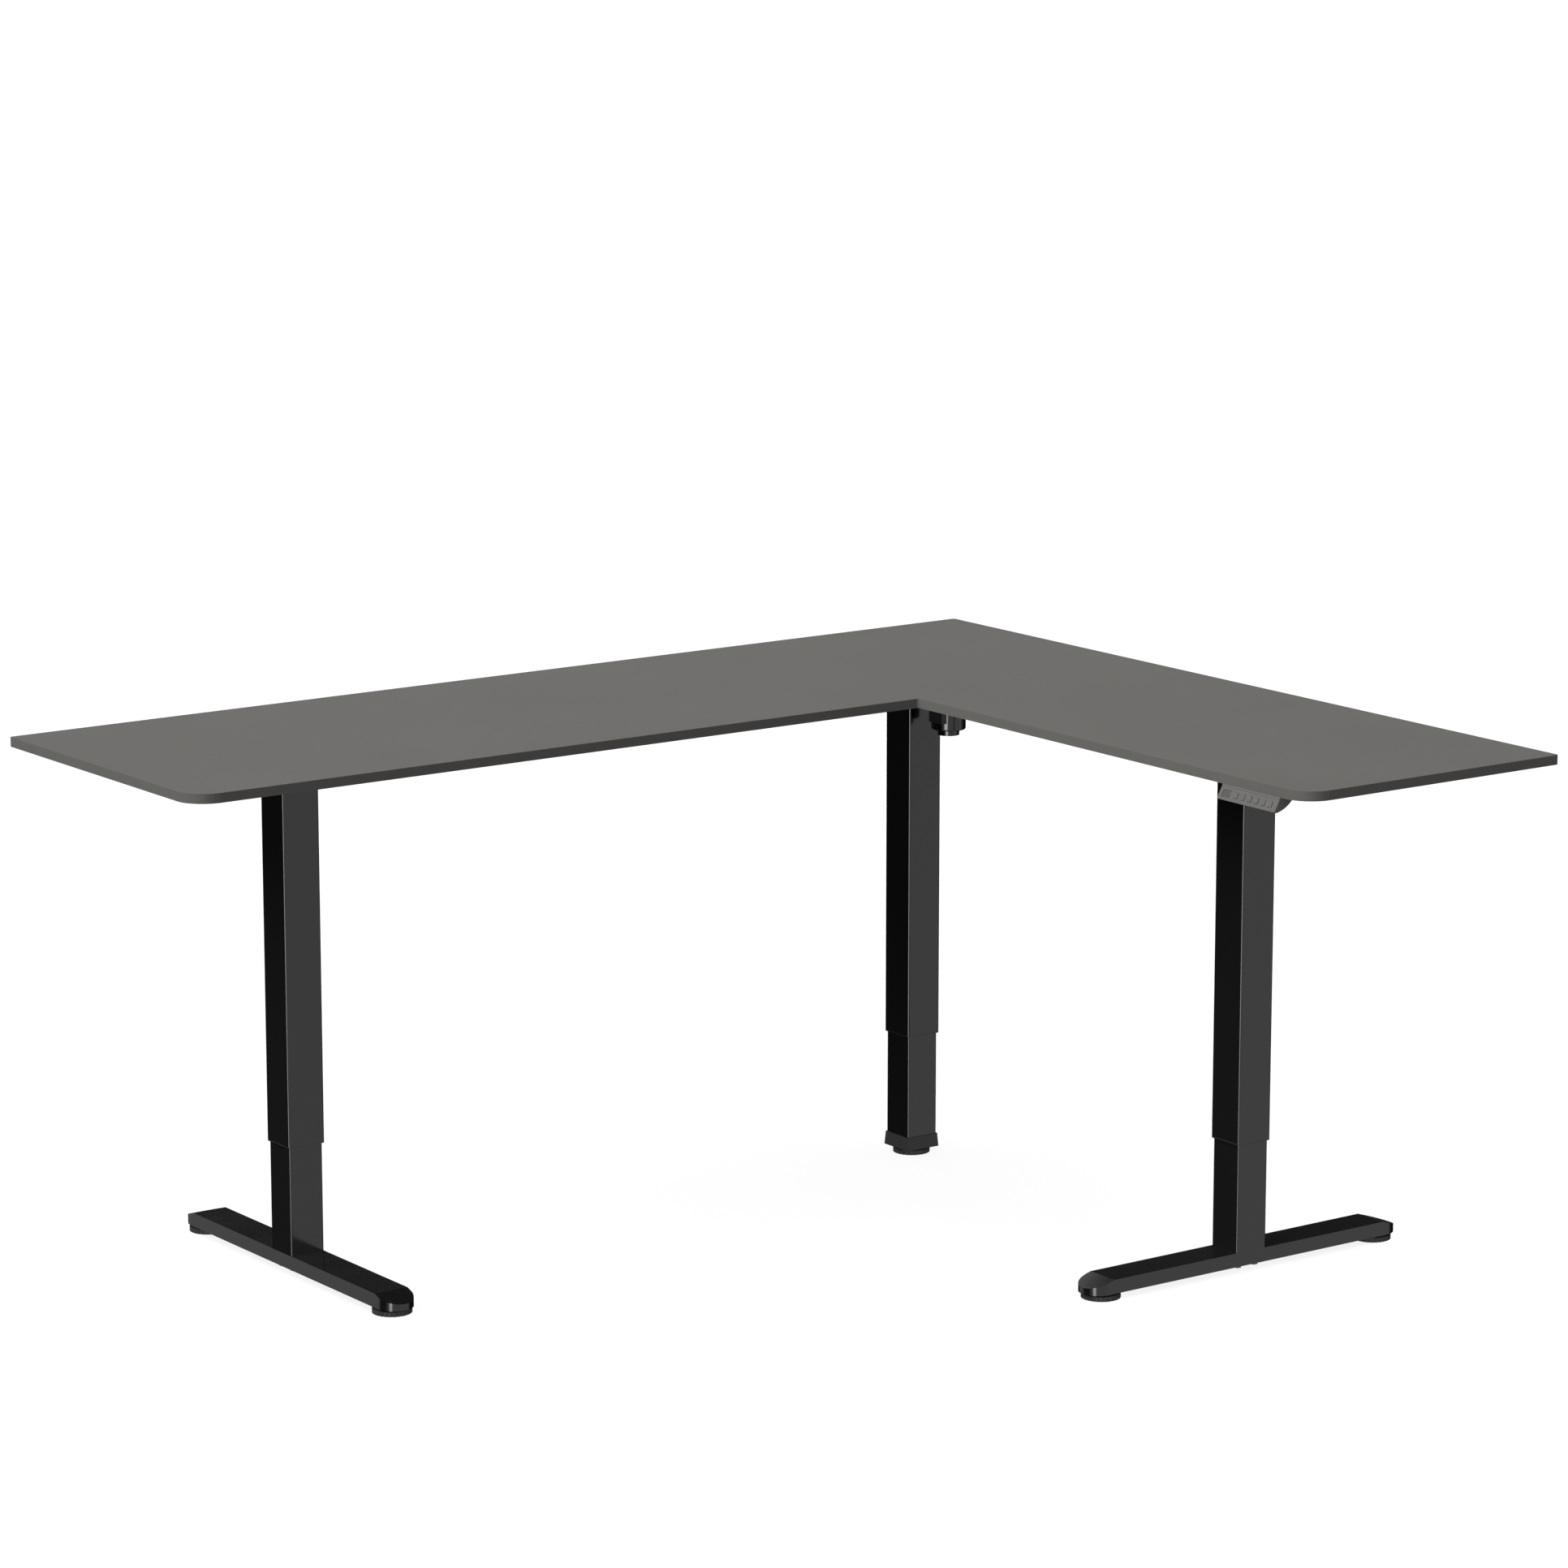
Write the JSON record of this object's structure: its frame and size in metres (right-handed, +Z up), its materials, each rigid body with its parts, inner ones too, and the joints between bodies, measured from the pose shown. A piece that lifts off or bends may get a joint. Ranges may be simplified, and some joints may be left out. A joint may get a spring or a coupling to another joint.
{
  "type": "height adjustable standing desk",
  "caption": "L-shaped sit-stand desk: rounded dark board on a steel frame, telescopic electric lifting columns with T-feet and a corner post, and an under-edge key handset.",
  "frame": {"origin": "middle of the overall footprint (board, feet and glides), on the floor", "axes": "+Z up; +X along the long edge from the free left end to the corner; +Y from the user to the back edge, with the return running towards -Y on the +X side"},
  "size_m": [1.976, 1.644, 0.9],
  "materials": {
    "board_laminate": "matte dark warm grey melamine on chipboard",
    "edge_band": "matte edge banding matched to the board",
    "black_steel": "semi-gloss black powder coat",
    "zinc_fasteners": "blackened zinc plate",
    "bright_steel": "bare turned steel",
    "guide_plastic": "black acetal",
    "black_plastic": "moulded black plastic",
    "gearbox_casting": "black painted die casting",
    "circuit_laminate": "green solder mask",
    "handset_plastic": "fine-textured dark grey plastic",
    "key_plastic": "fine-textured dark grey plastic",
    "display_window": "smoked acrylic"
  },
  "bodies": {
    "left_leg": {"left_foot": "black_steel", "left_foot_bolts": "zinc_fasteners", "left_base_plate": "bright_steel", "left_inner_tube": "black_steel", "left_spindle_nut": "guide_plastic"},
    "desktop": {"circuit_board": "circuit_laminate", "control_box_case": "black_plastic", "control_box_lid": "black_plastic", "corner_gearbox_housing": "gearbox_casting", "corner_head_plate": "black_steel", "corner_motor": "black_steel", "corner_outer_tube": "black_steel", "desktop_board": "board_laminate", "edge_band": "edge_band", "frame_bolts": "zinc_fasteners", "handset_display": "display_window", "handset_shell": "handset_plastic", "left_gearbox_housing": "gearbox_casting", "left_head_plate": "black_steel", "left_motor": "black_steel", "left_outer_tube": "black_steel", "left_side_bracket": "black_steel", "main_front_rail": "black_steel", "main_rear_rail": "black_steel", "mains_inlet": "black_plastic", "motor_connector_covers": "black_plastic", "motor_sockets": "black_plastic", "return_inner_rail": "black_steel", "return_outer_rail": "black_steel", "right_gearbox_housing": "gearbox_casting", "right_head_plate": "black_steel", "right_motor": "black_steel", "right_outer_tube": "black_steel", "right_side_bracket": "black_steel", "spindle_bearings": "bright_steel", "tube_mouth_collars": "guide_plastic", "wood_screws": "zinc_fasteners"},
    "right_leg": {"right_foot": "black_steel", "right_foot_bolts": "zinc_fasteners", "right_base_plate": "bright_steel", "right_inner_tube": "black_steel", "right_spindle_nut": "guide_plastic"},
    "corner_leg": {"corner_foot_cap": "black_plastic", "corner_base_plate": "bright_steel", "corner_inner_tube": "black_steel", "corner_spindle_nut": "guide_plastic"},
    "left_spindle": {"left_lifting_spindle": "bright_steel"},
    "corner_spindle": {"corner_lifting_spindle": "bright_steel"},
    "right_spindle": {"right_lifting_spindle": "bright_steel"},
    "left_glide_front": {"left_glide_a": "black_plastic"},
    "left_glide_back": {"left_glide_b": "black_plastic"},
    "right_glide_inner": {"right_glide_a": "black_plastic"},
    "right_glide_outer": {"right_glide_b": "black_plastic"},
    "corner_glide": {"corner_glide": "black_plastic"},
    "key_1": {"handset_key_1": "key_plastic"},
    "key_2": {"handset_key_2": "key_plastic"},
    "key_3": {"handset_key_3": "key_plastic"},
    "key_4": {"handset_key_4": "key_plastic"},
    "key_5": {"handset_key_5": "key_plastic"},
    "key_6": {"handset_key_6": "key_plastic"}
  },
  "joints": [
    {"name": "lift", "type": "slide", "parent": "left_leg", "child": "desktop", "axis": [0, 0, 1], "range_m": [-0.175, 0.305]},
    {"name": "right_leg_slide", "type": "slide", "parent": "desktop", "child": "right_leg", "axis": [0, 0, -1], "range_m": [-0.175, 0.305]},
    {"name": "corner_leg_slide", "type": "slide", "parent": "desktop", "child": "corner_leg", "axis": [0, 0, -1], "range_m": [-0.175, 0.305]},
    {"name": "left_spindle_turn", "type": "hinge", "parent": "desktop", "child": "left_spindle", "pos_m": [-0.63, 0.487, 0.57], "axis": [0, 0, 1], "range_deg": [-7876, 13726]},
    {"name": "corner_spindle_turn", "type": "hinge", "parent": "desktop", "child": "corner_spindle", "pos_m": [0.653, 0.487, 0.57], "axis": [0, 0, 1], "range_deg": [-7876, 13726]},
    {"name": "right_spindle_turn", "type": "hinge", "parent": "desktop", "child": "right_spindle", "pos_m": [0.653, -0.418, 0.57], "axis": [0, 0, 1], "range_deg": [-7876, 13726]},
    {"name": "left_glide_front_screw", "type": "slide", "parent": "left_leg", "child": "left_glide_front", "axis": [0, 0, -1], "range_m": [0, 0.01]},
    {"name": "left_glide_back_screw", "type": "slide", "parent": "left_leg", "child": "left_glide_back", "axis": [0, 0, -1], "range_m": [0, 0.01]},
    {"name": "right_glide_inner_screw", "type": "slide", "parent": "right_leg", "child": "right_glide_inner", "axis": [0, 0, -1], "range_m": [0, 0.01]},
    {"name": "right_glide_outer_screw", "type": "slide", "parent": "right_leg", "child": "right_glide_outer", "axis": [0, 0, -1], "range_m": [0, 0.01]},
    {"name": "corner_glide_screw", "type": "slide", "parent": "corner_leg", "child": "corner_glide", "axis": [0, 0, -1], "range_m": [0, 0.01]},
    {"name": "key_1_press", "type": "slide", "parent": "desktop", "child": "key_1", "axis": [0.8779, 0, -0.4789], "range_m": [0, 0.0006], "stiffness_N_per_m": 800, "springref_m": -0.001},
    {"name": "key_2_press", "type": "slide", "parent": "desktop", "child": "key_2", "axis": [0.8779, 0, -0.4789], "range_m": [0, 0.0006], "stiffness_N_per_m": 800, "springref_m": -0.001},
    {"name": "key_3_press", "type": "slide", "parent": "desktop", "child": "key_3", "axis": [0.8779, 0, -0.4789], "range_m": [0, 0.0006], "stiffness_N_per_m": 800, "springref_m": -0.001},
    {"name": "key_4_press", "type": "slide", "parent": "desktop", "child": "key_4", "axis": [0.8779, 0, -0.4789], "range_m": [0, 0.0006], "stiffness_N_per_m": 800, "springref_m": -0.001},
    {"name": "key_5_press", "type": "slide", "parent": "desktop", "child": "key_5", "axis": [0.8779, 0, -0.4789], "range_m": [0, 0.0006], "stiffness_N_per_m": 800, "springref_m": -0.001},
    {"name": "key_6_press", "type": "slide", "parent": "desktop", "child": "key_6", "axis": [0.8779, 0, -0.4789], "range_m": [0, 0.0006], "stiffness_N_per_m": 800, "springref_m": -0.001}
  ],
  "couplings": [
    {"joint": "right_leg_slide", "follows": "lift", "ratio": 1},
    {"joint": "corner_leg_slide", "follows": "lift", "ratio": 1},
    {"joint": "left_spindle_turn", "follows": "lift", "rad_per_m": 785.4},
    {"joint": "corner_spindle_turn", "follows": "lift", "rad_per_m": 785.4},
    {"joint": "right_spindle_turn", "follows": "lift", "rad_per_m": 785.4}
  ]
}
